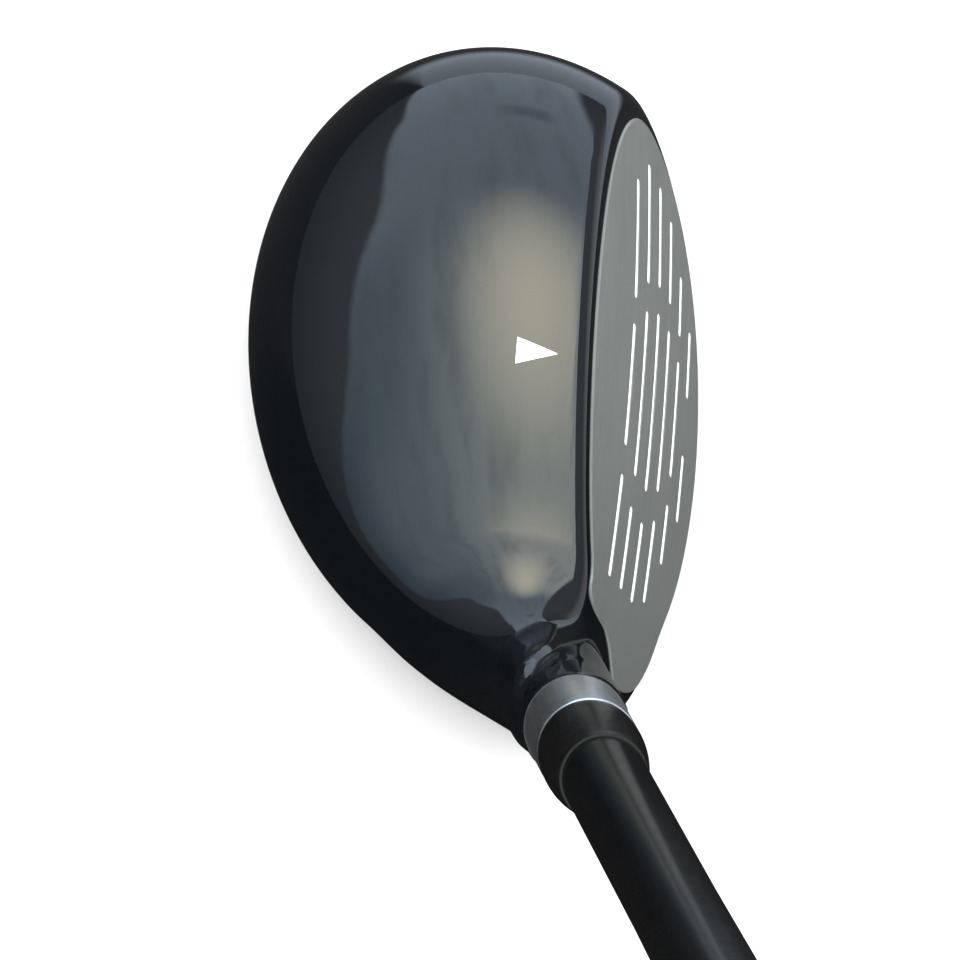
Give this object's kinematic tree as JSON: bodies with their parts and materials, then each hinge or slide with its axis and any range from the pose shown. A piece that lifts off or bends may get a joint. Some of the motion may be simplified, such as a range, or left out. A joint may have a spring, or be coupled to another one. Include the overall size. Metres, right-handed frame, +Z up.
{
  "type": "fairway wood",
  "caption": "Left-handed high-lofted fairway wood: hollow black-lacquered head with a brushed face, bare hosel band, ferrule, long tapered shaft and rubber grip.",
  "frame": {"origin": "on the flat of the sole, below the middle of the face-to-back depth of the head, with the club set down at address", "axes": "+X along the target line, out of the face; +Y from heel to toe; +Z up. The shaft leans towards -Y at a lie of 60 degrees"},
  "size_m": [0.0577, 0.5878, 0.8852],
  "materials": {
    "black_lacquer": "deep gloss black lacquer over steel",
    "face_steel": "steel brushed from heel to toe",
    "white_paint": "white enamel paint",
    "hosel_steel": "bare turned steel",
    "weight_metal": "dull sintered heavy metal",
    "glue": "set adhesive",
    "tip_brass": "turned brass",
    "ferrule_plastic": "polished black plastic",
    "shaft_lacquer": "satin black lacquer over carbon fibre",
    "tape": "double-sided paper tape",
    "grip_rubber": "moulded black rubber"
  },
  "bodies": {
    "root": {"head_body": "black_lacquer", "crown": "black_lacquer", "face_plate": "face_steel", "score_line_paint": "white_paint", "sight_mark": "white_paint", "hosel": "hosel_steel", "bore_stop": "hosel_steel", "sole_weight": "weight_metal", "rattle_glue": "glue", "shaft_epoxy": "glue", "tip_weight": "tip_brass", "ferrule": "ferrule_plastic", "shaft": "shaft_lacquer", "grip_tape": "tape", "grip": "grip_rubber", "grip_cap": "grip_rubber"}
  },
  "joints": []
}
